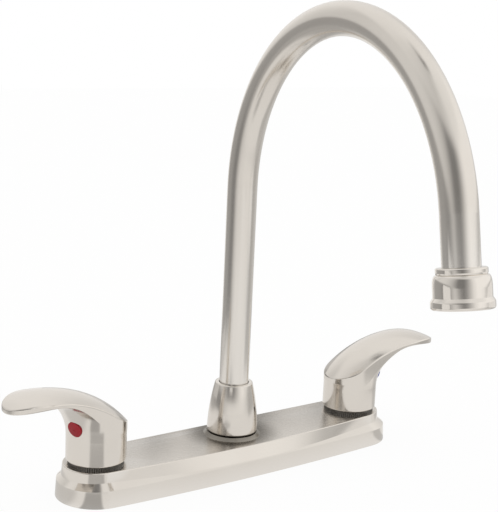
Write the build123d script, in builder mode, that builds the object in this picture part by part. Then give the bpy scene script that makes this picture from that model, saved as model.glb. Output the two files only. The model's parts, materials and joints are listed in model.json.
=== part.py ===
from build123d import *
import os
from math import asin, atan2, cos, degrees, radians, sin, sqrt

os.makedirs("parts", exist_ok=True)

# All sizes are in millimetres. Z is up from the deck, X runs along the base with the cold side
# at plus X, and minus Y points at the user. The spout turns about the Z axis.

# Setting out
valve_spacing = 203.2
hot_lever_angle = 7.6
cold_lever_angle = 9.3
spout_angle = 8.1
turning_gap = 0.3
close_gap = 0.05

# Base cover
cover_height = 20.0
cover_wall = 2.5
plinth_height = 10.5
plinth_end_radius = 24.9
plinth_front_bow = 3.4
plinth_draft = 0.6
plinth_forward = 1.2
shoulder_rise = 4.0
shoulder_run = 5.5
foot_end_radius = 21.0
foot_front_bow = 7.4
top_end_radius = 20.2
top_front_bow = 5.3
cover_edge_round = 0.6
boss_foot_radius = 18.6
boss_top_radius = 16.7
boss_height = 2.1
boss_round = 0.5

# Deck gasket
gasket_thickness = 1.5
gasket_edge_gap = 0.2

# Valve bodies and their fixings under the deck
shank_radius = 10.45
shank_length = 48.0
shank_chamfer = 1.0
thread_groove_width = 1.0
thread_groove_depth = 0.8
thread_groove_drop = 0.5
water_bore_radius = 6.5
barrel_radius = 15.0
valve_thread_radius = 13.4
valve_top = 24.0
seat_height = 4.0
cartridge_bore_radius = 10.3
port_height = 10.5
port_radius = 4.0
deck_thickness = 15.0
washer_radius = 22.0
washer_thickness = 1.5
mounting_nut_radius = 15.5
mounting_nut_height = 13.0
wing_reach = 25.0
wing_thickness = 4.0
wing_round = 1.4
wing_count = 4
shank_hole_gap = 0.3

# Crossover tubes
crossover_radius = 5.0
crossover_bore_radius = 4.0
crossover_socket = 2.2

# Cartridges
cartridge_clearance = 0.1
seal_thickness = 2.0
seal_radius = 9.0
seal_bore_radius = 6.8
disc_thickness = 3.0
disc_radius = 8.9
disc_port_radius = 2.2
disc_port_offset = 4.4
notch_width = 4.4
water_film = 0.05
chamber_radius = 9.2
drive_plate_thickness = 1.0
drive_lug_width = 2.4
drive_lug_height = 1.4
cartridge_flange_radius = 12.6
cartridge_flange_thickness = 1.6
cartridge_neck_radius = 7.6
cartridge_top = 29.0
window_width = 8.0
window_height = 4.0
window_middle = 10.8
stem_radius = 4.5
stem_gap = 0.1
stem_square = 6.4
stem_top = 49.0
stem_ring_height = 19.0

# Bonnet nuts
nut_flange_radius = 17.1
nut_flange_thickness = 2.3
nut_neck_radius = 14.8
nut_lip_thickness = 2.1
knurl_count = 72
knurl_depth = 0.6
nut_edge_chamfer = 0.4

# Levers: the crest is a run of three arcs, highest above crest_x
hub_radius = 18.4
side_stand = 0.2
hub_edge_round = 0.8
crest_x = 41.5
crest_height = 72.2
crest_hub_arc = 80.1
crest_tip_arc = 51.4
crest_back_arc = 59.4
crown_at_hub = 0.0208
crown_at_tip = 0.005
lever_reach = 64.5
taper_end = 36.8
lever_taper = 1.1
flare_start = 38.2
flare_radius = 29.4
flare_angle = 57.6
tip_thickness = 3.2
tip_underside_slope = -0.27
section_spare = 1.6
outline_spare = 1.0
steep_wall = 45.0
section_step = 9.0
handle_cavity_radius = 15.4
handle_cavity_top = 39.0
boss_radius = 7.5
socket_gap = 0.1
socket_spare = 1.0
lower_edge_round = 0.6
top_edge_round = 1.2

# Index buttons and set screws
index_turn = 12.0
index_height = 45.7
index_radius = 5.0
index_thickness = 2.0
index_proud = 0.5
index_dome = 0.3
screw_radius = 2.5
screw_length = 8.0
screw_key = 2.5
screw_key_depth = 3.0

# Spout socket and swivel
hub_floor = 6.0
neck_radius = 13.0
neck_top = 36.0
swivel_bore_radius = 11.2
base_ring_radius = 14.3
base_ring_neck_radius = 13.8
base_ring_gap = 0.6
swivel_washer_thickness = 0.8
fitting_bottom = 20.0
fitting_lip = 1.2
fitting_flange_radius = 12.6
fitting_flange_thickness = 2.0
ring_groove_depth = 1.05
ring_groove_width = 2.2
lower_ring_height = 24.0
upper_ring_height = 30.5

# Spout collar, the tall cone around the foot of the spout
collar_bottom = 22.8
collar_top = 55.2
collar_bottom_radius = 16.5
collar_middle_radius = 15.1
collar_middle_height = 40.0
collar_top_radius = 12.1
collar_bottom_round = 0.8
collar_top_round = 1.0
collar_mouth_gap = 0.35
collar_mouth_depth = 3.0
collar_throat_radius = 10.4

# Spout tube
tube_radius = 9.5
tube_wall = 1.2
riser_top = 181.6
bend_radius = 108.4
bend_angle = 168.8
outlet_length = 26.65

# Bell at the end of the spout, measured along its axis from the end of the straight outlet
bell_top = -1.2
bell_lip_radius = 12.6
bell_lip_bottom = 1.3
bell_lip_round = 0.9
bell_neck_radius = 12.3
bell_flare_start = 2.2
bell_flare_bulge = 0.1
bell_body_start = 8.0
bell_body_radius = 14.3
bell_body_end = 13.0
bell_foot_radius = 15.5
bell_foot_top = 14.8
bell_bottom = 18.7
bell_foot_round = 1.4
bell_seat = 6.5
bell_ledge = 7.6
bell_thread_radius = 11.9

# Aerator inside the bell
aerator_washer_thickness = 1.4
aerator_washer_bore_radius = 8.6
aerator_wall = 1.5
aerator_recess = 0.6
aerator_lip_radius = 9.4
aerator_lip_thickness = 0.8
screen_thickness = 0.5
screen_hole_side = 0.9
screen_hole_spacing = 1.8
screen_hole_rows = 7
insert_hole_radius = 0.75
insert_hole_spacing = 2.1
insert_hole_rings = 4
holes_per_ring = 6

# Places that follow from the sizes above
half_spacing = valve_spacing / 2
flat_under = cover_height - cover_wall
nut_flange_top = cover_height + nut_flange_thickness
hub_bottom = nut_flange_top + turning_gap
seal_top = seat_height + seal_thickness
fixed_disc_top = seal_top + disc_thickness
moving_disc_bottom = fixed_disc_top + water_film
moving_disc_top = moving_disc_bottom + disc_thickness
drive_bottom = moving_disc_top + water_film
drive_top = drive_bottom + drive_plate_thickness
chamber_top = drive_top + stem_gap
flange_top = valve_top + cartridge_flange_thickness
nut_lip_bottom = flange_top + close_gap
nut_top = nut_lip_bottom + nut_lip_thickness
boss_bottom = cartridge_top + turning_gap
stem_half = stem_square / 2
shank_hole_radius = shank_radius + shank_hole_gap
washer_top = -deck_thickness
nut_washer_face = washer_top - washer_thickness
groove_top = nut_washer_face - mounting_nut_height - thread_groove_drop
groove_bottom = groove_top - thread_groove_width
swivel_washer_top = neck_top + swivel_washer_thickness
fitting_shoulder = swivel_washer_top + close_gap
fitting_top = fitting_shoulder + fitting_flange_thickness
collar_step = fitting_top + turning_gap
sleeve_radius = swivel_bore_radius - close_gap
tube_inner_radius = tube_radius - tube_wall
tube_bottom = fitting_bottom + fitting_lip
section_half_width = hub_radius + section_spare


def closed_face(plane, corners):
    # flat face from a closed run of straight edges
    with BuildSketch(plane) as face:
        with BuildLine():
            Polyline(*corners, close=True)
        make_face()
    return face.sketch


def cover_outline(height, end_radius, front_bow, forward=0):
    # half-round ends about the valves, a straight back, and a front arc that runs smoothly
    # into both ends, all of it set forward by the last value
    arc_centre = (half_spacing**2 - front_bow**2) / (2 * front_bow)
    reach = arc_centre + front_bow
    touch_x = half_spacing + end_radius * half_spacing / reach
    touch_y = -end_radius * arc_centre / reach
    end_x = half_spacing + end_radius
    with BuildSketch(Plane((0, -forward, height))) as outline:
        with BuildLine():
            Line((half_spacing, end_radius), (-half_spacing, end_radius))
            ThreePointArc((-half_spacing, end_radius), (-end_x, 0), (-touch_x, touch_y))
            ThreePointArc((-touch_x, touch_y), (0, -end_radius - front_bow), (touch_x, touch_y))
            ThreePointArc((touch_x, touch_y), (end_x, 0), (half_spacing, end_radius))
        make_face()
    return outline.sketch


def crest(along):
    # height of the lever's ridge at a distance along it from the hub's axis
    if along > crest_x:
        return crest_height - crest_tip_arc + sqrt(crest_tip_arc**2 - (along - crest_x) ** 2)
    from_hub = max(along, 0) - crest_x
    height = crest_height - crest_hub_arc + sqrt(crest_hub_arc**2 - from_hub**2)
    if along < 0:
        slope = crest_x / sqrt(crest_hub_arc**2 - crest_x**2)
        height += slope * along - along**2 * (1 + slope**2) ** 1.5 / (2 * crest_back_arc)
    return height


def crown(along):
    # how fast the top falls away to each side of the ridge
    share = min(max(along, -hub_radius) / lever_reach, 1)
    return crown_at_hub + (crown_at_tip - crown_at_hub) * share


def swivel_section(plane_origin):
    # plane through a vertical axis, x outward and y up
    return Plane(origin=plane_origin, x_dir=(1, 0, 0), z_dir=(0, -1, 0))


# Base cover: a hollow shell with a plinth, a sloping shoulder and a raised flat top
with BuildPart() as base_cover:
    plinth_top_radius = plinth_end_radius - plinth_draft
    shoulder_radius = plinth_top_radius - shoulder_run
    shoulder_top = plinth_height + shoulder_rise
    loft([
        cover_outline(0, plinth_end_radius, plinth_front_bow, plinth_forward),
        cover_outline(plinth_height, plinth_top_radius, plinth_front_bow, plinth_forward),
    ], ruled=True)
    loft([
        cover_outline(plinth_height, plinth_top_radius, plinth_front_bow, plinth_forward),
        cover_outline(shoulder_top, shoulder_radius, plinth_front_bow, plinth_forward),
    ], ruled=True)
    loft([
        cover_outline(plinth_height, foot_end_radius, foot_front_bow),
        cover_outline(cover_height, top_end_radius, top_front_bow),
    ], ruled=True)
    fillet(faces().sort_by(Axis.Z)[-1].edges(), radius=cover_edge_round)
    # low round boss about the ring that the collar stands on
    boss_bore_radius = base_ring_radius + turning_gap
    boss_top = cover_height + boss_height
    revolve(closed_face(swivel_section((0, 0, 0)), [
        (boss_bore_radius, cover_height - cover_edge_round),
        (boss_foot_radius, cover_height - cover_edge_round),
        (boss_foot_radius, cover_height),
        (boss_top_radius, boss_top),
        (boss_bore_radius, boss_top),
    ]), axis=Axis.Z)
    for boss_rim_radius in (boss_foot_radius, boss_top_radius):
        boss_rims = edges().filter_by(GeomType.CIRCLE).filter_by(
            lambda e: abs(e.radius - boss_rim_radius) < close_gap)
        fillet(boss_rims, radius=boss_round)
    # inside of the plinth, then of the raised top
    inner_radius = plinth_end_radius - cover_wall
    inner_top_radius = plinth_top_radius - cover_wall
    loft([
        cover_outline(0, inner_radius, plinth_front_bow, plinth_forward),
        cover_outline(plinth_height, inner_top_radius, plinth_front_bow, plinth_forward),
    ], ruled=True, mode=Mode.SUBTRACT)
    loft([
        cover_outline(plinth_height, foot_end_radius - cover_wall, foot_front_bow),
        cover_outline(flat_under, top_end_radius - cover_wall, top_front_bow),
    ], ruled=True, mode=Mode.SUBTRACT)
    # holes for the two valves and the spout socket
    with BuildSketch(Plane.XY.offset(flat_under)):
        with Locations((-half_spacing, 0), (half_spacing, 0)):
            Circle(valve_thread_radius + turning_gap)
        Circle(neck_radius + turning_gap)
    extrude(amount=cover_wall, mode=Mode.SUBTRACT)
base_cover.part.label = "base_cover"
export_step(base_cover.part, "parts/base_cover.step")

# Deck gasket inside the rim of the cover, under the whole body
with BuildPart() as deck_gasket:
    rim_draft = plinth_draft * gasket_thickness / plinth_height
    gasket_radius = plinth_end_radius - cover_wall - rim_draft - gasket_edge_gap
    gasket_outline = cover_outline(0, gasket_radius, plinth_front_bow, plinth_forward)
    extrude(gasket_outline, amount=gasket_thickness)
    with BuildSketch():
        with Locations((-half_spacing, 0), (half_spacing, 0)):
            Circle(shank_hole_radius)
    extrude(amount=gasket_thickness, mode=Mode.SUBTRACT)
deck_gasket.part.label = "deck_gasket"
export_step(deck_gasket.part, "parts/deck_gasket.step")

# Spout socket: brass barrel in the middle of the cover, with a neck that the collar screws on
with BuildPart() as spout_socket:
    revolve(closed_face(swivel_section((0, 0, 0)), [
        (0, gasket_thickness),
        (barrel_radius, gasket_thickness),
        (barrel_radius, flat_under),
        (neck_radius, flat_under),
        (neck_radius, neck_top),
        (swivel_bore_radius, neck_top),
        (swivel_bore_radius, hub_floor),
        (0, hub_floor),
    ]), axis=Axis.Z)
    with BuildSketch(Plane.YZ.offset(-barrel_radius)):
        with Locations((0, port_height)):
            Circle(port_radius)
    extrude(amount=2 * barrel_radius, mode=Mode.SUBTRACT)
    for face_x, into in ((-barrel_radius, crossover_socket), (barrel_radius, -crossover_socket)):
        with BuildSketch(Plane.YZ.offset(face_x)):
            with Locations((0, port_height)):
                Circle(crossover_radius + close_gap)
        extrude(amount=into, mode=Mode.SUBTRACT)
spout_socket.part.label = "spout_socket"
export_step(spout_socket.part, "parts/spout_socket.step")

# Black ring that the collar stands on, with a neck that leaves a thin gap under the collar
base_ring_top = collar_bottom - base_ring_gap
with BuildPart() as collar_base_ring:
    revolve(closed_face(Plane.XZ, [
        (neck_radius + close_gap, cover_height),
        (base_ring_radius, cover_height),
        (base_ring_radius, base_ring_top),
        (base_ring_neck_radius, base_ring_top),
        (base_ring_neck_radius, collar_bottom),
        (neck_radius + close_gap, collar_bottom),
    ]), axis=Axis.Z)
collar_base_ring.part.label = "collar_base_ring"
export_step(collar_base_ring.part, "parts/collar_base_ring.step")

# Spout collar: the cone that screws on the neck and keeps the spout in its socket
with BuildPart() as spout_collar:
    with BuildSketch(Plane.XZ):
        with BuildLine():
            Line((neck_radius + close_gap, collar_bottom), (collar_bottom_radius, collar_bottom))
            ThreePointArc(
                (collar_bottom_radius, collar_bottom),
                (collar_middle_radius, collar_middle_height),
                (collar_top_radius, collar_top),
            )
            Polyline(
                (collar_top_radius, collar_top),
                (tube_radius + collar_mouth_gap, collar_top),
                (tube_radius + collar_mouth_gap, collar_top - collar_mouth_depth),
                (collar_throat_radius, collar_top - collar_mouth_depth),
                (collar_throat_radius, collar_step),
                (neck_radius + close_gap, collar_step),
                (neck_radius + close_gap, collar_bottom),
            )
        make_face()
    revolve(axis=Axis.Z)
    rims = edges().filter_by(GeomType.CIRCLE)
    foot_rim = rims.filter_by(lambda e: abs(e.radius - collar_bottom_radius) < close_gap)
    top_rim = rims.filter_by(lambda e: abs(e.radius - collar_top_radius) < close_gap)
    fillet(foot_rim, radius=collar_bottom_round)
    fillet(top_rim, radius=collar_top_round)
spout_collar.part.label = "spout_collar"
export_step(spout_collar.part, "parts/spout_collar.step")

# Swivel washer between the neck and the spout's flange
with BuildPart() as swivel_washer:
    with BuildSketch(Plane.XY.offset(neck_top)):
        Circle(fitting_flange_radius)
        Circle(swivel_bore_radius + close_gap, mode=Mode.SUBTRACT)
    extrude(amount=swivel_washer_thickness)
swivel_washer.part.label = "swivel_washer"
export_step(swivel_washer.part, "parts/swivel_washer.step")

# Spout fitting: the sleeve brazed on the foot of the tube, with two ring grooves and a flange
groove_radius = sleeve_radius - ring_groove_depth
with BuildPart() as spout_fitting:
    revolve(closed_face(Plane.XZ, [
        (tube_inner_radius, fitting_bottom),
        (sleeve_radius, fitting_bottom),
        (sleeve_radius, fitting_shoulder),
        (fitting_flange_radius, fitting_shoulder),
        (fitting_flange_radius, fitting_top),
        (tube_radius, fitting_top),
        (tube_radius, tube_bottom),
        (tube_inner_radius, tube_bottom),
    ]), axis=Axis.Z)
    for ring_height in (lower_ring_height, upper_ring_height):
        with BuildSketch(Plane.XY.offset(ring_height - ring_groove_width / 2)):
            Circle(sleeve_radius)
            Circle(groove_radius, mode=Mode.SUBTRACT)
        extrude(amount=ring_groove_width, mode=Mode.SUBTRACT)
spout_fitting.part.label = "spout_fitting"
export_step(spout_fitting.part, "parts/spout_fitting.step")

# Sealing rings of the swivel
ring_cord = ring_groove_depth / 2
with BuildPart() as spout_o_rings:
    for ring_height in (lower_ring_height, upper_ring_height):
        with BuildSketch(Plane.XZ):
            with Locations((groove_radius + ring_cord, ring_height)):
                Circle(ring_cord)
        revolve(axis=Axis.Z)
spout_o_rings.part.label = "spout_o_rings"
export_step(spout_o_rings.part, "parts/spout_o_rings.step")

# Spout tube: a straight riser, one wide bend and a short straight outlet
spout_forward = (-sin(radians(spout_angle)), -cos(radians(spout_angle)), 0)
spout_plane = Plane(
    origin=(0, 0, 0), x_dir=spout_forward, z_dir=(spout_forward[1], -spout_forward[0], 0)
)
with BuildLine(spout_plane) as spout_path:
    riser = Line((0, tube_bottom), (0, riser_top))
    bend = JernArc(riser @ 1, riser % 1, bend_radius, -bend_angle)
    outlet = Line(bend @ 1, bend @ 1 + (bend % 1) * (outlet_length + bell_seat))
with BuildPart() as spout_tube:
    with BuildSketch(Plane.XY.offset(tube_bottom)):
        Circle(tube_radius)
        Circle(tube_inner_radius, mode=Mode.SUBTRACT)
    sweep(path=spout_path.line)
spout_tube.part.label = "spout_tube"
export_step(spout_tube.part, "parts/spout_tube.step")

# The bell's axis: x outward across it and y along the flow
flow = bend % 1
bell_origin = bend @ 1 + flow * outlet_length
across = Vector(spout_plane.z_dir).cross(flow)
bell_plane = Plane(origin=bell_origin, x_dir=across, z_dir=across.cross(flow))
bell_axis = Axis(bell_origin, flow)


def bell_section(distance):
    # plane square to the flow at a distance along the bell's axis
    return Plane(origin=bell_origin + flow * distance, x_dir=across, z_dir=flow)


# Bell: the shaped end piece brazed on the tube
with BuildPart() as spout_bell:
    with BuildSketch(bell_plane):
        with BuildLine():
            Polyline(
                (tube_radius + close_gap, bell_top),
                (bell_lip_radius, bell_top),
                (bell_lip_radius, bell_lip_bottom),
                (bell_neck_radius, bell_flare_start),
            )
            Bezier(
                (bell_neck_radius, bell_flare_start),
                (bell_body_radius - close_gap, bell_flare_start + bell_flare_bulge),
                (bell_body_radius, bell_body_start),
            )
            Polyline(
                (bell_body_radius, bell_body_start),
                (bell_body_radius, bell_body_end),
                (bell_foot_radius, bell_foot_top),
                (bell_foot_radius, bell_bottom),
                (bell_thread_radius, bell_bottom),
                (bell_thread_radius, bell_ledge),
                (tube_inner_radius, bell_ledge),
                (tube_inner_radius, bell_seat),
                (tube_radius + close_gap, bell_seat),
                (tube_radius + close_gap, bell_top),
            )
        make_face()
    revolve(axis=bell_axis)
    rims = edges().filter_by(GeomType.CIRCLE)
    foot_rims = rims.filter_by(lambda e: abs(e.radius - bell_foot_radius) < close_gap)
    lip_rims = rims.filter_by(lambda e: abs(e.radius - bell_lip_radius) < close_gap)
    fillet(foot_rims, radius=bell_foot_round)
    fillet(lip_rims, radius=bell_lip_round)
spout_bell.part.label = "spout_bell"
export_step(spout_bell.part, "parts/spout_bell.step")

# Aerator: washer, screen, insert and the screwed ring that holds them in the bell
washer_end = bell_ledge + aerator_washer_thickness
screen_end = washer_end + screen_thickness
aerator_end = bell_bottom - aerator_recess
ring_inner_radius = bell_thread_radius - close_gap - aerator_wall
with BuildPart() as aerator_washer:
    with BuildSketch(bell_section(bell_ledge)):
        Circle(bell_thread_radius - close_gap)
        Circle(aerator_washer_bore_radius, mode=Mode.SUBTRACT)
    extrude(amount=aerator_washer_thickness)
aerator_washer.part.label = "aerator_washer"
export_step(aerator_washer.part, "parts/aerator_washer.step")

with BuildPart() as aerator_ring:
    revolve(closed_face(bell_plane, [
        (ring_inner_radius, washer_end),
        (bell_thread_radius - close_gap, washer_end),
        (bell_thread_radius - close_gap, aerator_end),
        (aerator_lip_radius, aerator_end),
        (aerator_lip_radius, aerator_end - aerator_lip_thickness),
        (ring_inner_radius, aerator_end - aerator_lip_thickness),
    ]), axis=bell_axis)
aerator_ring.part.label = "aerator_ring"
export_step(aerator_ring.part, "parts/aerator_ring.step")

with BuildPart() as aerator_screen:
    with BuildSketch(bell_section(washer_end)):
        Circle(ring_inner_radius - close_gap)
        with GridLocations(
            screen_hole_spacing, screen_hole_spacing, screen_hole_rows, screen_hole_rows
        ):
            Rectangle(screen_hole_side, screen_hole_side, mode=Mode.SUBTRACT)
    extrude(amount=screen_thickness)
aerator_screen.part.label = "aerator_screen"
export_step(aerator_screen.part, "parts/aerator_screen.step")

insert_bottom = aerator_end - aerator_lip_thickness
with BuildPart() as aerator_insert:
    with BuildSketch(bell_section(screen_end)):
        Circle(ring_inner_radius - close_gap)
        Circle(insert_hole_radius, mode=Mode.SUBTRACT)
        for ring in range(1, insert_hole_rings + 1):
            with PolarLocations(ring * insert_hole_spacing, holes_per_ring * ring):
                Circle(insert_hole_radius, mode=Mode.SUBTRACT)
    extrude(amount=insert_bottom - screen_end)
aerator_insert.part.label = "aerator_insert"
export_step(aerator_insert.part, "parts/aerator_insert.step")

# Everything that comes once for each side
for side, sign, lever_angle in (("hot", -1, hot_lever_angle), ("cold", 1, cold_lever_angle)):
    valve_point = Vector(sign * half_spacing, 0, 0)
    valve_axis = Axis(valve_point, (0, 0, 1))
    valve_section = swivel_section(valve_point)
    valve_plan = Plane(origin=valve_point, x_dir=(1, 0, 0), z_dir=(0, 0, 1))
    lever_forward = Vector(sign * cos(radians(lever_angle)), -sin(radians(lever_angle)), 0)
    lever_plan = Plane(origin=valve_point, x_dir=lever_forward, z_dir=(0, 0, 1))
    lever_section = Plane(
        origin=valve_point, x_dir=lever_forward, z_dir=(lever_forward.Y, -lever_forward.X, 0)
    )
    index_angle = lever_angle + index_turn
    index_forward = Vector(sign * cos(radians(index_angle)), -sin(radians(index_angle)), 0)
    index_plan = Plane(origin=valve_point, x_dir=index_forward, z_dir=(0, 0, 1))

    # The index button lies square on the hub's flare, with the set screw level behind it
    index_tilt = asin((index_height - flare_start) / flare_radius)
    index_reach = hub_radius + flare_radius * (1 - cos(index_tilt))
    index_out = index_forward * cos(index_tilt) - Vector(0, 0, sin(index_tilt))
    button_point = valve_point + index_forward * index_reach + Vector(0, 0, index_height)
    button_plane = Plane(
        origin=button_point, x_dir=(-index_forward.Y, index_forward.X, 0), z_dir=index_out
    )
    button_side = Plane(
        origin=button_point, x_dir=button_plane.x_dir, z_dir=button_plane.x_dir.cross(index_out)
    )
    screw_height = index_height + index_thickness * sin(index_tilt)
    screw_plane = Plane(
        origin=valve_point + index_forward * stem_half + Vector(0, 0, screw_height),
        x_dir=(0, 0, 1),
        z_dir=index_forward,
    )

    # Valve body: threaded shank, barrel under the cover and threaded top
    with BuildPart() as valve_body:
        revolve(closed_face(valve_section, [
            (water_bore_radius, -shank_length),
            (shank_radius - shank_chamfer, -shank_length),
            (shank_radius, shank_chamfer - shank_length),
            (shank_radius, groove_bottom),
            (shank_radius - thread_groove_depth, groove_bottom),
            (shank_radius - thread_groove_depth, groove_top),
            (shank_radius, groove_top),
            (shank_radius, gasket_thickness),
            (barrel_radius, gasket_thickness),
            (barrel_radius, flat_under),
            (valve_thread_radius, flat_under),
            (valve_thread_radius, valve_top),
            (cartridge_bore_radius, valve_top),
            (cartridge_bore_radius, seat_height),
            (water_bore_radius, seat_height),
        ]), axis=valve_axis)
        port_face = Plane(
            origin=(sign * (half_spacing - barrel_radius), 0, port_height), z_dir=(sign, 0, 0)
        )
        with BuildSketch(port_face):
            Circle(port_radius)
        extrude(amount=barrel_radius, mode=Mode.SUBTRACT)
        with BuildSketch(port_face):
            Circle(crossover_radius + close_gap)
        extrude(amount=crossover_socket, mode=Mode.SUBTRACT)
    valve_body.part.label = f"valve_body_{side}"
    export_step(valve_body.part, f"parts/valve_body_{side}.step")

    # Crossover tube brazed between the valve and the spout socket
    with BuildPart() as crossover_tube:
        tube_start = barrel_radius - crossover_socket
        with BuildSketch(Plane(origin=(sign * tube_start, 0, port_height), z_dir=(sign, 0, 0))):
            Circle(crossover_radius)
            Circle(crossover_bore_radius, mode=Mode.SUBTRACT)
        extrude(amount=half_spacing - 2 * tube_start)
    crossover_tube.part.label = f"crossover_tube_{side}"
    export_step(crossover_tube.part, f"parts/crossover_tube_{side}.step")

    # Steel washer and winged nut under the deck
    with BuildPart() as mounting_washer:
        with BuildSketch(valve_plan.offset(nut_washer_face)):
            Circle(washer_radius)
            Circle(shank_hole_radius, mode=Mode.SUBTRACT)
        extrude(amount=washer_thickness)
    mounting_washer.part.label = f"mounting_washer_{side}"
    export_step(mounting_washer.part, f"parts/mounting_washer_{side}.step")

    with BuildPart() as mounting_nut:
        with BuildSketch(valve_plan.offset(nut_washer_face - mounting_nut_height)):
            Circle(mounting_nut_radius)
            with PolarLocations(wing_reach / 2, wing_count):
                Rectangle(wing_reach, wing_thickness)
            wing_corners = vertices().filter_by(lambda v: v.center().length > wing_reach)
            fillet(wing_corners, radius=wing_round)
            Circle(shank_radius + close_gap, mode=Mode.SUBTRACT)
        extrude(amount=mounting_nut_height)
    mounting_nut.part.label = f"mounting_nut_{side}"
    export_step(mounting_nut.part, f"parts/mounting_nut_{side}.step")

    # Rubber seal on the seat, under the fixed disc
    with BuildPart() as seat_seal:
        with BuildSketch(valve_plan.offset(seat_height)):
            Circle(seal_radius)
            Circle(seal_bore_radius, mode=Mode.SUBTRACT)
        extrude(amount=seal_thickness)
    seat_seal.part.label = f"seat_seal_{side}"
    export_step(seat_seal.part, f"parts/seat_seal_{side}.step")

    # Fixed and moving ceramic discs: the ports stand a quarter turn apart when shut
    with BuildPart() as fixed_disc:
        with BuildSketch(index_plan.offset(seal_top)):
            Circle(disc_radius)
            with PolarLocations(disc_port_offset, 2):
                Circle(disc_port_radius, mode=Mode.SUBTRACT)
        extrude(amount=disc_thickness)
    fixed_disc.part.label = f"fixed_disc_{side}"
    export_step(fixed_disc.part, f"parts/fixed_disc_{side}.step")

    with BuildPart() as moving_disc:
        with BuildSketch(index_plan.offset(moving_disc_bottom)):
            Circle(disc_radius - stem_gap)
            with PolarLocations(disc_port_offset, 2, start_angle=90):
                Circle(disc_port_radius, mode=Mode.SUBTRACT)
            with PolarLocations(disc_port_offset + disc_radius / 2, 2, start_angle=90):
                Rectangle(disc_radius, notch_width, mode=Mode.SUBTRACT)
        extrude(amount=disc_thickness)
        with BuildSketch(index_plan.offset(moving_disc_top - drive_lug_height)):
            Rectangle(2 * disc_radius, drive_lug_width)
        extrude(amount=drive_lug_height, mode=Mode.SUBTRACT)
    moving_disc.part.label = f"moving_disc_{side}"
    export_step(moving_disc.part, f"parts/moving_disc_{side}.step")

    # Cartridge body that holds the discs and guides the stem
    with BuildPart() as cartridge_body:
        revolve(closed_face(valve_section, [
            (chamber_radius, seal_top - seal_thickness / 2),
            (cartridge_bore_radius - cartridge_clearance, seal_top - seal_thickness / 2),
            (cartridge_bore_radius - cartridge_clearance, valve_top),
            (cartridge_flange_radius, valve_top),
            (cartridge_flange_radius, flange_top),
            (cartridge_neck_radius, flange_top),
            (cartridge_neck_radius, cartridge_top),
            (stem_radius + stem_gap, cartridge_top),
            (stem_radius + stem_gap, chamber_top),
            (chamber_radius, chamber_top),
        ]), axis=valve_axis)
        window_face = Plane(
            origin=(sign * half_spacing, 0, window_middle), x_dir=(0, 1, 0), z_dir=(-sign, 0, 0)
        )
        with BuildSketch(window_face):
            Rectangle(window_width, window_height)
        extrude(amount=barrel_radius, mode=Mode.SUBTRACT)
    cartridge_body.part.label = f"cartridge_body_{side}"
    export_step(cartridge_body.part, f"parts/cartridge_body_{side}.step")

    # Stem: drive plate with its lug, round shaft with a ring groove, square top
    stem_groove_radius = stem_radius - ring_groove_depth
    with BuildPart() as valve_stem:
        with BuildSketch(valve_plan.offset(drive_bottom)):
            Circle(disc_radius - stem_gap)
        extrude(amount=drive_plate_thickness)
        with BuildSketch(index_plan.offset(moving_disc_top - drive_lug_height + close_gap)):
            Rectangle(2 * (disc_radius - 2 * drive_lug_width), drive_lug_width - stem_gap)
        extrude(amount=drive_lug_height)
        with BuildSketch(valve_plan.offset(drive_bottom)):
            Circle(stem_radius)
        extrude(amount=cartridge_top - drive_bottom)
        with BuildSketch(index_plan.offset(cartridge_top)):
            Rectangle(stem_square, stem_square)
        extrude(amount=stem_top - cartridge_top)
        with BuildSketch(valve_plan.offset(stem_ring_height - ring_groove_width / 2)):
            Circle(stem_radius)
            Circle(stem_groove_radius, mode=Mode.SUBTRACT)
        extrude(amount=ring_groove_width, mode=Mode.SUBTRACT)
    valve_stem.part.label = f"valve_stem_{side}"
    export_step(valve_stem.part, f"parts/valve_stem_{side}.step")

    with BuildPart() as stem_o_ring:
        with BuildSketch(valve_section):
            with Locations((stem_groove_radius + ring_cord, stem_ring_height)):
                Circle(ring_cord)
        revolve(axis=valve_axis)
    stem_o_ring.part.label = f"stem_o_ring_{side}"
    export_step(stem_o_ring.part, f"parts/stem_o_ring_{side}.step")

    # Bonnet nut: knurled flange on the cover, threaded skirt inside, lip over the cartridge
    with BuildPart() as bonnet_nut:
        with BuildSketch(valve_plan.offset(cover_height)):
            with BuildLine():
                knurl = []
                for n in range(2 * knurl_count):
                    radius = nut_flange_radius - knurl_depth * (n % 2)
                    angle = radians(180 * n / knurl_count)
                    knurl.append((radius * cos(angle), radius * sin(angle)))
                Polyline(*knurl, close=True)
            make_face()
        extrude(amount=nut_flange_thickness)
        revolve(closed_face(valve_section, [
            (nut_flange_radius - nut_edge_chamfer, nut_flange_top),
            (nut_flange_radius + nut_edge_chamfer, nut_flange_top),
            (nut_flange_radius + nut_edge_chamfer, nut_flange_top - 2 * nut_edge_chamfer),
        ]), axis=valve_axis, mode=Mode.SUBTRACT)
        with BuildSketch(valve_plan.offset(nut_flange_top)):
            Circle(nut_neck_radius)
        extrude(amount=nut_top - nut_flange_top)
        revolve(closed_face(valve_section, [
            (0, cover_height),
            (valve_thread_radius + close_gap, cover_height),
            (valve_thread_radius + close_gap, nut_lip_bottom),
            (cartridge_neck_radius + close_gap, nut_lip_bottom),
            (cartridge_neck_radius + close_gap, nut_top),
            (0, nut_top),
        ]), axis=valve_axis, mode=Mode.SUBTRACT)
    bonnet_nut.part.label = f"bonnet_nut_{side}"
    export_step(bonnet_nut.part, f"parts/bonnet_nut_{side}.step")

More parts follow.
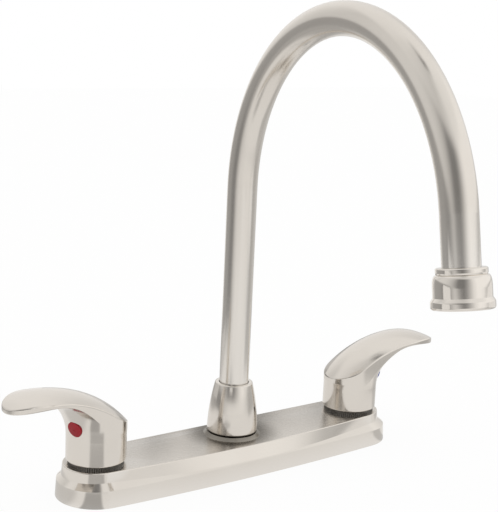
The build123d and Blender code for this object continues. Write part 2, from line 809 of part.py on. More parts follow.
    # Handle: a turned hub and underside, cut to the lever's outline and to its crowned top
    taper = radians(lever_taper)
    tip_length = lever_reach - taper_end
    outline_radius = hub_radius + side_stand
    flat_reach = outline_radius - taper_end * sin(taper)
    tip_half_width = sqrt(flat_reach**2 - (tip_length * sin(taper)) ** 2) / cos(taper)
    tip_start = atan2(tip_half_width * cos(taper), tip_length * sin(taper))
    hub_touch = (outline_radius * sin(taper), outline_radius * cos(taper))
    tip_touch = (taper_end + tip_length * cos(tip_start), tip_half_width * sin(tip_start))
    flare_end = radians(flare_angle)
    flare_x = hub_radius + flare_radius * (1 - cos(flare_end))
    flare_z = flare_start + flare_radius * sin(flare_end)
    flare_mid_x = hub_radius + flare_radius * (1 - cos(flare_end / 2))
    flare_mid_z = flare_start + flare_radius * sin(flare_end / 2)
    outer_reach = lever_reach + outline_spare
    outer_underside = crest(lever_reach) - tip_thickness + tip_underside_slope * outline_spare
    ceiling = crest_height + turning_gap
    with BuildPart() as handle:
        with BuildSketch(lever_section):
            with BuildLine():
                Polyline(
                    (0, ceiling),
                    (0, hub_bottom),
                    (hub_radius, hub_bottom),
                    (hub_radius, flare_start),
                )
                ThreePointArc(
                    (hub_radius, flare_start), (flare_mid_x, flare_mid_z), (flare_x, flare_z)
                )
                Spline(
                    (flare_x, flare_z),
                    (outer_reach, outer_underside),
                    tangents=((sin(flare_end), cos(flare_end)), (1, tip_underside_slope)),
                    tangent_scalars=(1, 1),
                )
                Polyline((outer_reach, outer_underside), (outer_reach, ceiling), (0, ceiling))
            make_face()
        revolve(axis=valve_axis)
        with BuildSketch(lever_plan.offset(hub_bottom)):
            with BuildLine():
                Line((hub_touch[0], -hub_touch[1]), (tip_touch[0], -tip_touch[1]))
                EllipticalCenterArc(
                    (taper_end, 0), tip_length, tip_half_width,
                    start_angle=-degrees(tip_start), arc_size=2 * degrees(tip_start),
                )
                Line(tip_touch, hub_touch)
                ThreePointArc(hub_touch, (-outline_radius, 0), (hub_touch[0], -hub_touch[1]))
            make_face()
        extrude(amount=ceiling - hub_bottom, mode=Mode.INTERSECT)
        station = -hub_radius - section_step / 2
        while station < lever_reach + section_step:
            top = crest(station)
            edge_height = top - crown(station) * section_half_width**2
            section_plane = Plane(
                origin=valve_point + lever_forward * station,
                x_dir=(-lever_forward.Y, lever_forward.X, 0),
                z_dir=lever_forward,
            )
            with BuildSketch(section_plane):
                with BuildLine():
                    Polyline(
                        (section_half_width, edge_height),
                        (section_half_width, 0),
                        (-section_half_width, 0),
                        (-section_half_width, edge_height),
                    )
                    ThreePointArc(
                        (-section_half_width, edge_height),
                        (0, top),
                        (section_half_width, edge_height),
                    )
                make_face()
            station += section_step
        loft(mode=Mode.INTERSECT)
        # round the lower edge of the sides, the top's rim and the foot of the hub
        facing_up = faces().filter_by(lambda f: f.normal_at().Z > sin(radians(steep_wall)))
        top_edges = facing_up.sort_by(SortBy.AREA)[-1].edges()
        rim_points = [e @ 0.5 for e in top_edges]
        fillet(edges().filter_by(GeomType.BSPLINE) - top_edges, radius=lower_edge_round)
        rim = edges().filter_by(
            lambda e: any((e @ 0.5 - point).length < close_gap for point in rim_points)
        )
        fillet(rim, radius=top_edge_round)
        fillet(faces().sort_by(Axis.Z)[0].edges(), radius=hub_edge_round)
        # the hub is hollow, with a boss that takes the stem's square
        with BuildSketch(valve_plan.offset(hub_bottom)):
            Circle(handle_cavity_radius)
        extrude(amount=handle_cavity_top - hub_bottom, mode=Mode.SUBTRACT)
        with BuildSketch(valve_plan.offset(boss_bottom)):
            Circle(boss_radius)
        extrude(amount=handle_cavity_top - boss_bottom)
        with BuildSketch(index_plan.offset(boss_bottom)):
            Rectangle(stem_square + 2 * socket_gap, stem_square + 2 * socket_gap)
        extrude(amount=stem_top + socket_spare - boss_bottom, mode=Mode.SUBTRACT)
        # recess for the index button, and the set screw's hole from its floor to the stem
        with BuildSketch(button_plane):
            Circle(index_radius + close_gap)
        extrude(amount=index_thickness, both=True, mode=Mode.SUBTRACT)
        with BuildSketch(screw_plane):
            Circle(screw_radius + close_gap)
        extrude(amount=hub_radius - stem_half, mode=Mode.SUBTRACT)
    handle.part.label = f"handle_{side}"
    export_step(handle.part, f"parts/handle_{side}.step")

    # Set screw that locks the handle on the stem
    with BuildPart() as handle_screw:
        with BuildSketch(screw_plane):
            Circle(screw_radius)
        extrude(amount=screw_length)
        with BuildSketch(screw_plane.offset(screw_length - screw_key_depth)):
            RegularPolygon(radius=screw_key / 2, side_count=6, major_radius=False)
        extrude(amount=screw_key_depth, mode=Mode.SUBTRACT)
    handle_screw.part.label = f"handle_screw_{side}"
    export_step(handle_screw.part, f"parts/handle_screw_{side}.step")

    # Coloured index button pressed in over the set screw, with a face like part of a ball
    dome_ball = (index_radius**2 + index_dome**2) / (2 * index_dome)
    dome_centre = index_proud + index_dome - dome_ball
    with BuildPart() as index_button:
        with BuildSketch(button_side):
            with BuildLine():
                Polyline(
                    (0, index_proud + index_dome),
                    (0, -index_thickness),
                    (index_radius, -index_thickness),
                    (index_radius, index_proud),
                )
                ThreePointArc(
                    (index_radius, index_proud),
                    (index_radius / 2, dome_centre + sqrt(dome_ball**2 - index_radius**2 / 4)),
                    (0, index_proud + index_dome),
                )
            make_face()
        revolve(axis=Axis(button_plane.origin, button_plane.z_dir))
    index_button.part.label = f"index_button_{side}"
    export_step(index_button.part, f"parts/index_button_{side}.step")
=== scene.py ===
import json
import math

import bpy
from mathutils import Matrix, Vector

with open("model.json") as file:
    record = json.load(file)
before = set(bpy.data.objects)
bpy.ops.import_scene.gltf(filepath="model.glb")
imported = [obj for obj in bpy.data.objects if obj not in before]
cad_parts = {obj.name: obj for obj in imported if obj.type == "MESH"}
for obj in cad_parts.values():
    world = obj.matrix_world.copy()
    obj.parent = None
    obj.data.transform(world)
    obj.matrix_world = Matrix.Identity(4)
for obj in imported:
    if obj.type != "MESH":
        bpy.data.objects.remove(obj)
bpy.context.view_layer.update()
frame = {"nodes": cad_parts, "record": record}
tapNodes = frame["nodes"]
print("stage 1: frame loaded,", len(tapNodes), "nodes")


# small helpers for building node trees

def addNode(tree, kind, label="", **settings):
    node = tree.nodes.new(kind)
    node.label = label
    for name, value in settings.items():
        setattr(node, name, value)
    return node


def wire(tree, source, target):
    tree.links.new(source, target)


def fill(tree, socket, value):
    # a socket of another node is wired in, anything else is typed in
    if isinstance(value, bpy.types.NodeSocket):
        wire(tree, value, socket)
    else:
        socket.default_value = value


def calculate(tree, operation, first, second=None, third=None):
    node = addNode(tree, "ShaderNodeMath", operation=operation)
    for socket, value in zip(node.inputs, (first, second, third)):
        if value is not None:
            fill(tree, socket, value)
    return node.outputs[0]


def remap(tree, value, fromMin, fromMax, toMin=0.0, toMax=1.0):
    node = addNode(tree, "ShaderNodeMapRange", interpolation_type="SMOOTHSTEP")
    for name, given in (("Value", value), ("From Min", fromMin), ("From Max", fromMax),
                        ("To Min", toMin), ("To Max", toMax)):
        fill(tree, node.inputs[name], given)
    return node.outputs["Result"]


def blendColours(tree, mask, first, second):
    node = addNode(tree, "ShaderNodeMix", data_type="RGBA")
    fill(tree, node.inputs["Factor"], mask)
    fill(tree, node.inputs["A"], first)
    fill(tree, node.inputs["B"], second)
    return node.outputs["Result"]


def mixShaders(tree, share, first, second):
    node = addNode(tree, "ShaderNodeMixShader")
    fill(tree, node.inputs[0], share)
    wire(tree, first, node.inputs[1])
    wire(tree, second, node.inputs[2])
    return node.outputs[0]


def splitPlace(tree, given=None):
    # X, Y and Z of a given place, or of the point on the object
    if given is None:
        given = addNode(tree, "ShaderNodeTexCoord").outputs["Object"]
    pick = addNode(tree, "ShaderNodeSeparateXYZ")
    wire(tree, given, pick.inputs[0])
    return pick.outputs


def flatDistance(tree, alongX, alongY):
    squares = calculate(tree, "ADD", calculate(tree, "MULTIPLY", alongX, alongX),
                        calculate(tree, "MULTIPLY", alongY, alongY))
    return calculate(tree, "SQRT", squares)


def newGroup(name, inputs, outputs):
    # inputs is a run of (name, kind, default), outputs of (name, kind)
    group = bpy.data.node_groups.new(name, "ShaderNodeTree")
    for title, kind, default in inputs:
        socket = group.interface.new_socket(title, in_out="INPUT", socket_type=kind)
        if default is not None:
            socket.default_value = default
    for title, kind in outputs:
        group.interface.new_socket(title, in_out="OUTPUT", socket_type=kind)
    start = addNode(group, "NodeGroupInput")
    end = addNode(group, "NodeGroupOutput")
    return group, start.outputs, end.inputs


def placeGroup(tree, group, **values):
    node = addNode(tree, "ShaderNodeGroup", label=group.name, node_tree=group)
    for name, value in values.items():
        fill(tree, node.inputs[name], value)
    return node.outputs


scalar = "NodeSocketFloat"
arrow = "NodeSocketVector"


# effects that several finishes share

grainValues = {"lineDetail": 3.0, "patchScale": 30.0, "patchDetail": 4.0}
skinValues = {"cloudScale": 120.0, "cloudDetail": 5.0}
linesBetween = (0.25, 0.75)  # the part of a noise's range that is used
cloudsBetween = (0.3, 0.7)


def makeBrushedGrain():
    # fine lines along X of the given place, broken up along their length
    group, given, result = newGroup(
        "brushedGrain",
        [("Place", arrow, None), ("Across", scalar, 4000.0), ("Along", scalar, 60.0)],
        [("Lines", scalar), ("Patches", scalar)],
    )
    place = splitPlace(group, given["Place"])
    stretched = addNode(group, "ShaderNodeCombineXYZ")
    for axis, density in (("X", "Along"), ("Y", "Across"), ("Z", "Across")):
        fill(group, stretched.inputs[axis], calculate(group, "MULTIPLY", place[axis], given[density]))
    lines = addNode(group, "ShaderNodeTexNoise")
    wire(group, stretched.outputs[0], lines.inputs["Vector"])
    lines.inputs["Scale"].default_value = 1.0
    lines.inputs["Detail"].default_value = grainValues["lineDetail"]
    patches = addNode(group, "ShaderNodeTexNoise")
    wire(group, given["Place"], patches.inputs["Vector"])
    patches.inputs["Scale"].default_value = grainValues["patchScale"]
    patches.inputs["Detail"].default_value = grainValues["patchDetail"]
    wire(group, lines.outputs["Fac"], result["Lines"])
    wire(group, patches.outputs["Fac"], result["Patches"])
    return group


def makeWornHighlightEdges():
    # where the surface turns sharply outward, rubbed a little brighter: wear and a painted highlight
    group, given, result = newGroup(
        "wornHighlightEdges",
        [("Start", scalar, 0.52), ("End", scalar, 0.6)],
        [("Mask", scalar)],
    )
    shape = addNode(group, "ShaderNodeNewGeometry")
    mask = remap(group, shape.outputs["Pointiness"], given["Start"], given["End"])
    wire(group, mask, result["Mask"])
    return group


def makeMouldedSkin():
    # the fine even skin of moulded plastic and rubber
    group, given, result = newGroup(
        "mouldedSkin",
        [("Scale", scalar, 900.0)],
        [("Skin", scalar), ("Clouds", scalar)],
    )
    place = addNode(group, "ShaderNodeTexCoord")
    skin = addNode(group, "ShaderNodeTexVoronoi")
    wire(group, place.outputs["Object"], skin.inputs["Vector"])
    wire(group, given["Scale"], skin.inputs["Scale"])
    clouds = addNode(group, "ShaderNodeTexNoise")
    wire(group, place.outputs["Object"], clouds.inputs["Vector"])
    clouds.inputs["Scale"].default_value = skinValues["cloudScale"]
    clouds.inputs["Detail"].default_value = skinValues["cloudDetail"]
    wire(group, skin.outputs["Distance"], result["Skin"])
    wire(group, clouds.outputs["Fac"], result["Clouds"])
    return group


def makeSoftSector():
    # 1 inside a sector of a ring on the floor, with soft edges
    group, given, result = newGroup(
        "softSector",
        [("X", scalar, 0.0), ("Y", scalar, 0.0), ("Azimuth", scalar, 0.0), ("Half Width", scalar, 20.0),
         ("Edge", scalar, 5.0), ("Inner", scalar, 0.0), ("Outer", scalar, 0.1), ("Ring Edge", scalar, 0.01)],
        [("Mask", scalar)],
    )
    turned = calculate(group, "DEGREES", calculate(group, "ARCTAN2", given["Y"], given["X"]))
    away = calculate(group, "SUBTRACT", turned, given["Azimuth"])
    away = calculate(group, "ABSOLUTE", calculate(group, "WRAP", away, 180.0, -180.0))
    inside = remap(group, away, calculate(group, "ADD", given["Half Width"], given["Edge"]),
                   calculate(group, "SUBTRACT", given["Half Width"], given["Edge"]))
    distance = flatDistance(group, given["X"], given["Y"])
    beyond = remap(group, distance, calculate(group, "SUBTRACT", given["Inner"], given["Ring Edge"]),
                   calculate(group, "ADD", given["Inner"], given["Ring Edge"]))
    within = remap(group, distance, calculate(group, "ADD", given["Outer"], given["Ring Edge"]),
                   calculate(group, "SUBTRACT", given["Outer"], given["Ring Edge"]))
    ring = calculate(group, "MULTIPLY", beyond, within)
    wire(group, calculate(group, "MULTIPLY", inside, ring), result["Mask"])
    return group


brushedGrain = makeBrushedGrain()
wornHighlightEdges = makeWornHighlightEdges()
mouldedSkin = makeMouldedSkin()
softSector = makeSoftSector()


# where a finish's lines run

turnToLength = 0.015  # metres of line for one radian round an axis


def linesAlongX(tree):
    place = addNode(tree, "ShaderNodeTexCoord")
    return place.outputs["Object"]


def linesRound(axisX):
    # lines run round the upright axis at this X: angle, height and radius as X, Y and Z
    def makePlace(tree):
        place = splitPlace(tree)
        fromX = calculate(tree, "SUBTRACT", place["X"], axisX)
        turn = calculate(tree, "ARCTAN2", place["Y"], fromX)
        joined = addNode(tree, "ShaderNodeCombineXYZ")
        fill(tree, joined.inputs["X"], calculate(tree, "MULTIPLY", turn, turnToLength))
        fill(tree, joined.inputs["Y"], place["Z"])
        fill(tree, joined.inputs["Z"], flatDistance(tree, fromX, place["Y"]))
        return joined.outputs[0]
    return makePlace


# finishes

def newFinish(name):
    material = bpy.data.materials.new(name)
    material.use_nodes = True
    tree = material.node_tree
    tree.nodes.clear()
    shader = addNode(tree, "ShaderNodeBsdfPrincipled")
    output = addNode(tree, "ShaderNodeOutputMaterial")
    wire(tree, shader.outputs[0], output.inputs["Surface"])
    return material, tree, shader


def finishTopFace(tree, look, colour, roughness):
    # the flat top is brushed more coarsely, and has painted shade close round the spout's collar that
    # darkens its colour
    place = splitPlace(tree)
    onTop = calculate(tree, "GREATER_THAN", place["Z"], look["above"])
    radius = flatDistance(tree, place["X"], place["Y"])
    paintedShade = remap(tree, radius, look["paintedShadeTo"], look["paintedShadeFrom"], 0.0, look["paintedShadeShare"])
    # painted shade: the flat top's colour darkens towards the collar
    colour = blendColours(tree, calculate(tree, "MULTIPLY", paintedShade, onTop), colour, (*look["paintedShadeColour"], 1))
    coarser = calculate(tree, "MULTIPLY", onTop, look["roughAdded"])
    return colour, calculate(tree, "ADD", roughness, coarser)


def addRelief(tree, shader, look, height):
    relief = addNode(tree, "ShaderNodeBump")
    relief.inputs["Strength"].default_value = look["reliefStrength"]
    relief.inputs["Distance"].default_value = look["reliefDepth"]
    wire(tree, height, relief.inputs["Height"])
    wire(tree, relief.outputs[0], shader.inputs["Normal"])


def makeMetal(name, look, place):
    material, tree, shader = newFinish(name)
    grain = placeGroup(tree, brushedGrain, Place=place(tree), Across=look["linesPerMetre"],
                       Along=look["breaksPerMetre"])
    wornHighlight = placeGroup(tree, wornHighlightEdges)["Mask"]
    shade = remap(tree, grain["Patches"], *cloudsBetween)
    body = blendColours(tree, shade, (*look["colour"], 1), (*look["colourLight"], 1))
    # sharp edges get a brighter colour: wear and a painted highlight
    colour = blendColours(tree, wornHighlight, body, (*look["colourWornHighlight"], 1))
    roughness = remap(tree, grain["Lines"], *linesBetween, look["roughLow"], look["roughHigh"])
    if "topFace" in look:
        colour, roughness = finishTopFace(tree, look["topFace"], colour, roughness)
    fill(tree, shader.inputs["Base Color"], colour)
    fill(tree, shader.inputs["Roughness"], roughness)
    shader.inputs["Metallic"].default_value = 1.0
    addRelief(tree, shader, look, grain["Lines"])
    return material


def makeMoulded(name, look):
    material, tree, shader = newFinish(name)
    skin = placeGroup(tree, mouldedSkin, Scale=look["skinScale"])
    shade = remap(tree, skin["Clouds"], *cloudsBetween)
    fill(tree, shader.inputs["Base Color"],
         blendColours(tree, shade, (*look["colour"], 1), (*look["colourLight"], 1)))
    fill(tree, shader.inputs["Roughness"],
         remap(tree, skin["Clouds"], *cloudsBetween, look["roughLow"], look["roughHigh"]))
    shader.inputs["Specular IOR Level"].default_value = look.get("shine", 0.5)
    addRelief(tree, shader, look, skin["Skin"])
    return material


nickelLook = {
    "colour": (0.745, 0.705, 0.655),
    "colourLight": (0.765, 0.728, 0.678),
    "colourWornHighlight": (0.82, 0.79, 0.75),
    "roughLow": 0.13,
    "roughHigh": 0.19,
    "linesPerMetre": 5200.0,
    "breaksPerMetre": 90.0,
    "reliefStrength": 0.04,
    "reliefDepth": 0.00004,
}
brassLook = {
    "colour": (0.60, 0.44, 0.20),
    "colourLight": (0.70, 0.54, 0.27),
    "colourWornHighlight": (0.80, 0.66, 0.40),
    "roughLow": 0.28,
    "roughHigh": 0.42,
    "linesPerMetre": 2600.0,
    "breaksPerMetre": 400.0,
    "reliefStrength": 0.15,
    "reliefDepth": 0.00006,
}
steelLook = {
    "colour": (0.52, 0.52, 0.51),
    "colourLight": (0.60, 0.60, 0.59),
    "colourWornHighlight": (0.74, 0.74, 0.73),
    "roughLow": 0.25,
    "roughHigh": 0.4,
    "linesPerMetre": 3000.0,
    "breaksPerMetre": 200.0,
    "reliefStrength": 0.1,
    "reliefDepth": 0.00005,
}
mouldedLooks = {
    "blackPlastic": {
        "colour": (0.034, 0.030, 0.026), "colourLight": (0.046, 0.042, 0.036),
        "roughLow": 0.2, "roughHigh": 0.3, "skinScale": 1500.0,
        "reliefStrength": 0.12, "reliefDepth": 0.00006,
    },
    "knurledBlack": {
        "colour": (0.05, 0.044, 0.037), "colourLight": (0.075, 0.066, 0.055),
        "roughLow": 0.12, "roughHigh": 0.2, "skinScale": 1500.0, "shine": 1.0,
        "reliefStrength": 0.1, "reliefDepth": 0.00004,
    },
    "whitePlastic": {
        "colour": (0.70, 0.70, 0.68), "colourLight": (0.76, 0.76, 0.74),
        "roughLow": 0.35, "roughHigh": 0.5, "skinScale": 1500.0,
        "reliefStrength": 0.1, "reliefDepth": 0.00005,
    },
    "sealRubber": {
        "colour": (0.018, 0.018, 0.019), "colourLight": (0.03, 0.03, 0.031),
        "roughLow": 0.6, "roughHigh": 0.8, "skinScale": 900.0,
        "reliefStrength": 0.25, "reliefDepth": 0.0001,
    },
    "discCeramic": {
        "colour": (0.80, 0.79, 0.76), "colourLight": (0.84, 0.83, 0.81),
        "roughLow": 0.12, "roughHigh": 0.2, "skinScale": 2500.0,
        "reliefStrength": 0.05, "reliefDepth": 0.00002,
    },
    "redButton": {
        "colour": (0.27, 0.002, 0.010), "colourLight": (0.32, 0.003, 0.013), "shine": 0.3,
        "roughLow": 0.3, "roughHigh": 0.38, "skinScale": 1800.0,
        "reliefStrength": 0.06, "reliefDepth": 0.00003,
    },
    "blueButton": {
        "colour": (0.008, 0.035, 0.30), "colourLight": (0.012, 0.05, 0.38),
        "roughLow": 0.3, "roughHigh": 0.38, "skinScale": 1800.0,
        "reliefStrength": 0.06, "reliefDepth": 0.00003,
    },
}

# how the pieces of nickel differ from each other
bellChanges = {
    "colour": (0.79, 0.75, 0.70), "colourLight": (0.81, 0.77, 0.72), "roughLow": 0.08, "roughHigh": 0.13,
}
baseChanges = {
    "roughLow": 0.09, "roughHigh": 0.14,
    # topFace: coarser brushing on the flat top, and painted shade round the collar
    "topFace": {"above": 0.0198, "roughAdded": 0.15, "paintedShadeFrom": 0.015, "paintedShadeTo": 0.036, "paintedShadeShare": 1.0,
                "paintedShadeColour": (0.26, 0.24, 0.21)},
}
spoutChanges = {"roughLow": 0.17, "roughHigh": 0.23}
collarChanges = {"roughLow": 0.12, "roughHigh": 0.18}
valveX = 0.1016
nickelPlate = makeMetal("nickelAlongBase", {**nickelLook, **baseChanges}, linesAlongX)
nickelSpout = makeMetal("nickelRoundSpout", {**nickelLook, **spoutChanges}, linesRound(0.0))
nickelCollar = makeMetal("nickelRoundCollar", {**nickelLook, **collarChanges}, linesRound(0.0))
nickelBell = makeMetal("nickelRoundBell", {**nickelLook, **bellChanges}, linesAlongX)
nickelHot = makeMetal("nickelRoundHotHub", nickelLook, linesRound(-valveX))
nickelCold = makeMetal("nickelRoundColdHub", nickelLook, linesRound(valveX))
turnedBrass = makeMetal("turnedBrass", brassLook, linesAlongX)
plainSteel = makeMetal("plainSteel", steelLook, linesAlongX)
moulded = {name: makeMoulded(name, look) for name, look in mouldedLooks.items()}

knurledBlack = moulded["knurledBlack"]
finishOfNode = {
    "base_cover": nickelPlate,
    "spout_tube": nickelSpout,
    "spout_bell": nickelBell,
    "spout_collar": nickelCollar,
    "handle_hot": nickelHot,
    "handle_cold": nickelCold,
    "index_button_hot": moulded["redButton"],
    "index_button_cold": moulded["blueButton"],
    "bonnet_nut_hot": knurledBlack,
    "bonnet_nut_cold": knurledBlack,
}
finishOfSlot = {
    "brushed_nickel": nickelPlate,
    "brass": turnedBrass,
    "plain_steel": plainSteel,
    "black_plastic": moulded["blackPlastic"],
    "white_plastic": moulded["whitePlastic"],
    "rubber": moulded["sealRubber"],
    "ceramic": moulded["discCeramic"],
    "red_plastic": moulded["redButton"],
    "blue_plastic": moulded["blueButton"],
}
slotOfNode = {row["node"]: row["material_slot"] for row in frame["record"]["subparts"]}
for name, piece in tapNodes.items():
    finish = finishOfNode.get(name) or finishOfSlot[slotOfNode[name]]
    piece.data.materials.clear()
    piece.data.materials.append(finish)
print("stage 2: finishes on", len(tapNodes), "nodes")


# studio: a pale room whose walls and floor the metal mirrors, white straight behind the tap

studio = {
    "roomTint": (1.0, 0.985, 0.965),
    "lightForPaper": 1.05,
    # five bands of the room from the floor up, each as azimuth in degrees and brightness
    "bands": [
        [(-180, 0.66), (-150, 0.76), (-120, 0.85), (-60, 0.76), (-30, 0.60), (26, 0.62), (42, 0.44),
         (120, 0.48), (165, 0.46), (180, 0.66)],
        [(-180, 0.48), (-165, 0.72), (-153, 0.84), (-143, 0.90), (-75, 0.91), (-57, 0.78), (-45, 0.61),
         (-36, 0.51), (-9, 0.55), (3, 0.64), (40, 0.70), (58, 0.92), (76, 1.0), (87, 0.70), (96, 0.42),
         (135, 0.38), (150, 0.29), (165, 0.24), (180, 0.40)],
        [(-180, 0.60), (-168, 0.45), (-154, 0.24), (-132, 0.22), (-122, 0.32), (-108, 0.58), (-94, 0.86),
         (-78, 1.03), (0, 1.02), (20, 0.86), (32, 0.78), (44, 0.87), (60, 0.94), (80, 0.94), (96, 0.84),
         (114, 0.70), (126, 0.78), (152, 0.76), (166, 0.70), (180, 0.60)],
        [(-180, 0.72), (-150, 0.66), (-120, 0.76), (-90, 0.88), (0, 0.95), (60, 0.94), (110, 0.92),
         (130, 0.88), (150, 0.80), (180, 0.72)],
        [(-180, 0.20), (-60, 0.20), (-48, 0.40), (-36, 0.84), (60, 0.86), (95, 0.62), (120, 0.60),
         (170, 0.60), (180, 0.20)],
    ],
    # heights in degrees between which each band gives way to the next
    "bandEdges": [(-30, -20), (-1, 5), (36, 48), (79, 83)],
}


def makeRamp(tree, position, points):
    # brightness by position from 0 to 1, from a list of places and levels
    node = addNode(tree, "ShaderNodeValToRGB")
    ramp = node.color_ramp
    ramp.elements[0].position = points[0][0]
    ramp.elements[-1].position = points[-1][0]
    for where, level in points[1:-1]:
        ramp.elements.new(where)
    for stop, (where, level) in zip(ramp.elements, points):
        stop.color = (level, level, level, 1)
    fill(tree, node.inputs["Fac"], position)
    return node.outputs["Color"]


def makeBand(tree, turn, points):
    share = calculate(tree, "ADD", calculate(tree, "DIVIDE", turn, 360.0), 0.5)
    return makeRamp(tree, share, [(azimuth / 360 + 0.5, level) for azimuth, level in points])


room = bpy.data.worlds.new("studioRoom")
bpy.context.scene.world = room
room.use_nodes = True
roomTree = room.node_tree
roomTree.nodes.clear()
direction = splitPlace(roomTree, addNode(roomTree, "ShaderNodeTexCoord").outputs["Generated"])
turn = calculate(roomTree, "DEGREES", calculate(roomTree, "ARCTAN2", direction["Y"], direction["X"]))
lift = calculate(roomTree, "DEGREES", calculate(roomTree, "ARCSINE", direction["Z"]))
level, *bandsAbove = [makeBand(roomTree, turn, points) for points in studio["bands"]]
for edge, band in zip(studio["bandEdges"], bandsAbove):
    level = blendColours(roomTree, remap(roomTree, lift, *edge), level, band)
tinted = addNode(roomTree, "ShaderNodeMix", data_type="RGBA", blend_type="MULTIPLY")
tinted.inputs["Factor"].default_value = 1.0
fill(roomTree, tinted.inputs["A"], level)
fill(roomTree, tinted.inputs["B"], (*studio["roomTint"], 1))
mirrored = addNode(roomTree, "ShaderNodeBackground", label="room seen in the metal")
fill(roomTree, mirrored.inputs["Color"], tinted.outputs["Result"])
plainLight = addNode(roomTree, "ShaderNodeBackground", label="even light and white behind the tap")
plainLight.inputs["Color"].default_value = (1, 1, 1, 1)
path = addNode(roomTree, "ShaderNodeLightPath")
fill(roomTree, plainLight.inputs["Strength"],
     remap(roomTree, path.outputs["Is Camera Ray"], 0.0, 1.0, studio["lightForPaper"], 1.0))
roomSurface = mixShaders(roomTree, path.outputs["Is Glossy Ray"], plainLight.outputs[0], mirrored.outputs[0])
roomOutput = addNode(roomTree, "ShaderNodeOutputWorld")
wire(roomTree, roomSurface, roomOutput.inputs["Surface"])


# the deck that the tap stands on: white paper; to the metal it glows with painted shade, darker towards the
# back and in painted shadow patches
deck = {
    "size": 6.0, "colour": (0.86, 0.86, 0.85), "fibreColour": (0.9, 0.9, 0.9), "fibreShare": 0.3,
    "fibreScale": 2500.0, "roughness": 0.9, "whiteShare": 0.93,
    # levels of the glow that the metal sees: painted shade, darker towards the back
    "frontLevel": 0.88, "backLevel": 0.49, "frontToBack": (0.13, 0.21),
    "nearRadius": 0.28, "farRadius": 0.40,
    # painted shadow patches in the glow that the metal sees
    "patches": [
        # name, middle X and Y, azimuth, half width, edge, inner and outer radius, radius edge, level
        ("behindHotHandle", -valveX, 0.0, 140, 58, 10, 0.0, 0.060, 0.008, 0.68),
        ("nearHotHandle", -valveX, 0.0, -125, 17, 3, 0.0, 0.062, 0.006, 0.46),
        ("beforeHotHandle", -valveX, 0.0, -117, 23.5, 3, 0.062, 0.130, 0.006, 0.52),
        ("nearColdHandle", valveX, 0.0, -46, 14, 5, 0.0, 0.064, 0.006, 0.62),
        ("rightOfColdHandle", valveX, 0.0, 0, 18, 8, 0.064, 0.30, 0.010, 0.64),
        ("farRight", 0.0, 0.0, -22, 28, 6, 0.225, 0.60, 0.02, 0.54),
    ],
}


def addSheet(name, corners):
    # flat four-cornered sheet, with the first edge's direction as its U
    mesh = bpy.data.meshes.new(name)
    mesh.from_pydata(corners, [], [(0, 1, 2, 3)])
    along = mesh.uv_layers.new(name="along")
    for loop, place in zip(along.data, ((0, 0), (1, 0), (1, 1), (0, 1))):
        loop.uv = place
    sheet = bpy.data.objects.new(name, mesh)
    bpy.context.scene.collection.objects.link(sheet)
    return sheet


half = deck["size"] / 2
deckSheet = addSheet("deckSheet", [(-half, -half, 0), (half, -half, 0), (half, half, 0), (-half, half, 0)])
paper, paperTree, paperShader = newFinish("whitePaper")
fibres = placeGroup(paperTree, mouldedSkin, Scale=deck["fibreScale"])
fill(paperTree, paperShader.inputs["Base Color"],
     blendColours(paperTree, remap(paperTree, fibres["Clouds"], *cloudsBetween, 0.0, deck["fibreShare"]),
                  (*deck["colour"], 1), (*deck["fibreColour"], 1)))
paperShader.inputs["Roughness"].default_value = deck["roughness"]
spot = splitPlace(paperTree)
# painted shade: the glow's level darkens towards the back and inside each painted shadow patch
level = remap(paperTree, spot["Y"], *deck["frontToBack"], deck["frontLevel"], deck["backLevel"])
for name, middleX, middleY, azimuth, halfWidth, edge, inner, outer, ringEdge, paintedShadowLevel in deck["patches"]:
    paintedShadowMask = placeGroup(paperTree, softSector, X=calculate(paperTree, "SUBTRACT", spot["X"], middleX),
                       Y=calculate(paperTree, "SUBTRACT", spot["Y"], middleY), Azimuth=azimuth,
                       Edge=edge, Inner=inner, Outer=outer,
                       **{"Half Width": halfWidth, "Ring Edge": ringEdge})
    mixer = addNode(paperTree, "ShaderNodeMix", label=name)
    fill(paperTree, mixer.inputs["Factor"], paintedShadowMask["Mask"])
    fill(paperTree, mixer.inputs["A"], level)
    fill(paperTree, mixer.inputs["B"], paintedShadowLevel)
    level = mixer.outputs["Result"]
# the deck glows for the metal at this painted level
paintedDeckGlow = addNode(paperTree, "ShaderNodeEmission", label="deck seen in the metal")
paintedDeckGlow.inputs["Color"].default_value = (*studio["roomTint"], 1)
wire(paperTree, level, paintedDeckGlow.inputs["Strength"])
seeThrough = addNode(paperTree, "ShaderNodeBsdfTransparent")
radius = flatDistance(paperTree, spot["X"], spot["Y"])
nearShare = remap(paperTree, radius, deck["farRadius"], deck["nearRadius"])
whiteGlow = addNode(paperTree, "ShaderNodeEmission", label="white to the camera")
whiteGlow.inputs["Color"].default_value = (1, 1, 1, 1)
paperPath = addNode(paperTree, "ShaderNodeLightPath")
seenDirectly = calculate(paperTree, "MULTIPLY", paperPath.outputs["Is Camera Ray"], deck["whiteShare"])
paperSurface = mixShaders(paperTree, seenDirectly, paperShader.outputs[0], whiteGlow.outputs[0])
inMetal = mixShaders(paperTree, nearShare, seeThrough.outputs[0], paintedDeckGlow.outputs[0])
paperSurface = mixShaders(paperTree, paperPath.outputs["Is Glossy Ray"], paperSurface, inMetal)
paperOutput = next(n for n in paperTree.nodes if n.type == "OUTPUT_MATERIAL")
wire(paperTree, paperSurface, paperOutput.inputs["Surface"])
deckSheet.data.materials.append(paper)

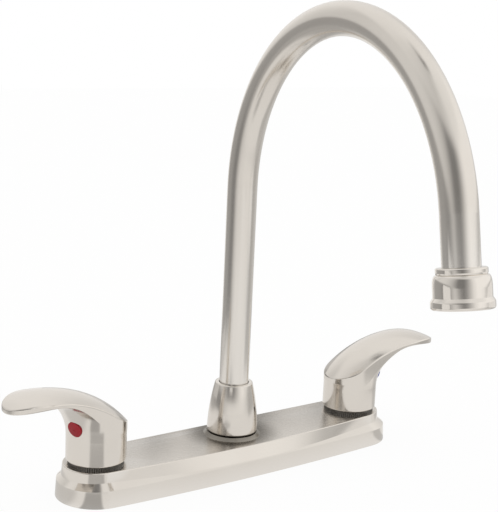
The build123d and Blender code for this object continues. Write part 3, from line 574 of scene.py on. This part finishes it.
# three glowing cards behind and beside the tap that only the metal sees: painted reflections, whose darker
# stretches are painted shade
cardGlow = {"glowNoiseScale": 1200.0, "unevenness": (0.96, 1.04)}
cards = [
    # name, one end, other end, bottom, top, levels as share of the length and brightness
    ("cardBehindBase", (-0.10, 0.075), (0.26, 0.075), 0.036, 0.067,
     [(0.0, 0.66), (0.16, 0.63), (0.21, 0.62), (0.24, 0.44), (0.265, 0.49), (0.30, 0.62), (0.32, 0.60),
      (0.345, 0.46), (0.37, 0.46), (0.40, 0.30), (0.465, 0.17), (0.49, 0.20), (0.515, 0.31), (0.54, 0.48),
      (0.565, 0.60), (0.62, 0.60), (0.67, 0.42), (0.79, 0.56), (0.82, 0.70), (1.0, 0.70)]),
    ("cardRightOfBell", (0.20, -0.42), (0.20, -0.19), 0.08, 0.17, [(0.0, 0.90), (1.0, 0.90)]),
    ("cardLeftOfBell", (-0.20, -0.22), (-0.20, -0.12), 0.08, 0.17, [(0.0, 0.85), (1.0, 0.85)]),
]
for name, start, end, bottom, top, levels in cards:
    card = addSheet(name, [(*start, bottom), (*end, bottom), (*end, top), (*start, top)])
    cardGlowFinish, cardGlowTree, cardGlowShader = newFinish(name)
    lengthwise = splitPlace(cardGlowTree, addNode(cardGlowTree, "ShaderNodeTexCoord").outputs["UV"])
    # painted reflection: each card glows at these levels along its length
    brightness = makeRamp(cardGlowTree, lengthwise["X"], levels)
    glowNoise = placeGroup(cardGlowTree, mouldedSkin, Scale=cardGlow["glowNoiseScale"])
    cardGlowShader.inputs["Base Color"].default_value = (0, 0, 0, 1)
    cardGlowShader.inputs["Roughness"].default_value = 1.0
    cardGlowShader.inputs["Specular IOR Level"].default_value = 0.0
    cardGlowShader.inputs["Emission Color"].default_value = (*studio["roomTint"], 1)
    unevenness = remap(cardGlowTree, glowNoise["Clouds"], *cloudsBetween, *cardGlow["unevenness"])
    fill(cardGlowTree, cardGlowShader.inputs["Emission Strength"],
         calculate(cardGlowTree, "MULTIPLY", brightness, unevenness))
    card.data.materials.append(cardGlowFinish)
    card.visible_camera = card.visible_diffuse = card.visible_transmission = card.visible_shadow = False
print("stage 3: studio and deck")


# camera at the photograph's place

camera = {
    "place": (-0.446646, -0.599535, 0.29366),
    "turn": 37.153,
    "dip": 11.722,
    "roll": 2.615,
    "lens": 84.39,
    "sensor": 36.0,
}
turnAngle, dipAngle, rollAngle = (math.radians(camera[k]) for k in ("turn", "dip", "roll"))
forward = Vector((math.sin(turnAngle) * math.cos(dipAngle), math.cos(turnAngle) * math.cos(dipAngle),
                  -math.sin(dipAngle)))
sideways = Vector((math.cos(turnAngle), -math.sin(turnAngle), 0))
upright = sideways.cross(forward)
rightward = math.cos(rollAngle) * sideways + math.sin(rollAngle) * upright
upward = -math.sin(rollAngle) * sideways + math.cos(rollAngle) * upright
cameraData = bpy.data.cameras.new("photoCamera")
cameraData.lens = camera["lens"]
cameraData.sensor_width = camera["sensor"]
cameraObject = bpy.data.objects.new("photoCamera", cameraData)
bpy.context.scene.collection.objects.link(cameraObject)
cameraObject.matrix_world = Matrix.LocRotScale(
    Vector(camera["place"]),
    Matrix((rightward, upward, -forward)).transposed(),
    None,
)
bpy.context.scene.camera = cameraObject
bpy.context.scene.view_settings.view_transform = "Standard"
print("stage 4: camera")
